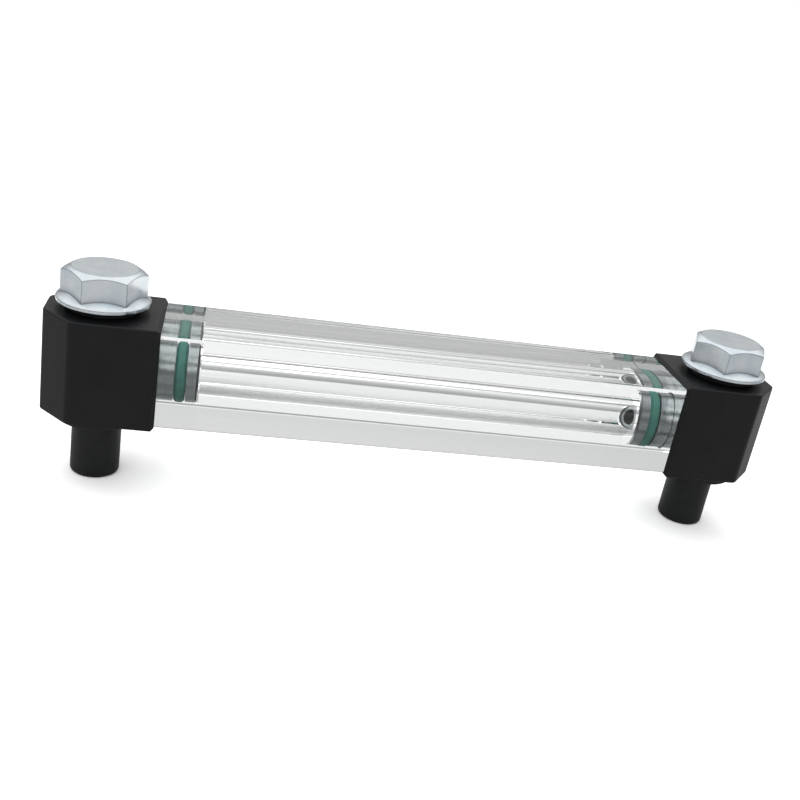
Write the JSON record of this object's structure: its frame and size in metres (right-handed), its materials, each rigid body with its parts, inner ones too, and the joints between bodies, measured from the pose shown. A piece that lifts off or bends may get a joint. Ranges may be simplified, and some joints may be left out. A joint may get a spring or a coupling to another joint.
{
  "type": "tank level gauge",
  "caption": "Liquid level gauge with a clear square sight bar between two black end blocks, clamped to a tank by hollow hex bolts.",
  "frame": {"origin": "midway between the two bolt axes, on the plane of the tank wall, which is the underside of the two wall seals", "axes": "+Z points away from the tank, from the threads to the bolt heads; +X runs along the bar from the left block to the right block; +Y is across the bar"},
  "size_m": [0.1816, 0.025, 0.0518],
  "materials": {
    "clear_acrylic": "clear polished acrylic",
    "black_block": "fine satin black coating",
    "turned_metal": "turned bright",
    "green_rubber": "green fluoro rubber",
    "zinc_plate": "bright bluish zinc plate",
    "black_rubber": "matte",
    "black_cap": "smooth satin vinyl"
  },
  "bodies": {
    "root": {"sight_bar": "clear_acrylic", "left_end_block": "black_block", "right_end_block": "black_block", "left_spigot": "turned_metal", "right_spigot": "turned_metal", "left_bar_ring": "green_rubber", "right_bar_ring": "green_rubber", "left_block_ring": "green_rubber", "right_block_ring": "green_rubber", "left_hollow_bolt": "zinc_plate", "right_hollow_bolt": "zinc_plate", "left_head_seal": "black_rubber", "right_head_seal": "black_rubber", "left_wall_seal": "black_rubber", "right_wall_seal": "black_rubber", "left_thread_cap": "black_cap", "right_thread_cap": "black_cap"}
  },
  "joints": []
}
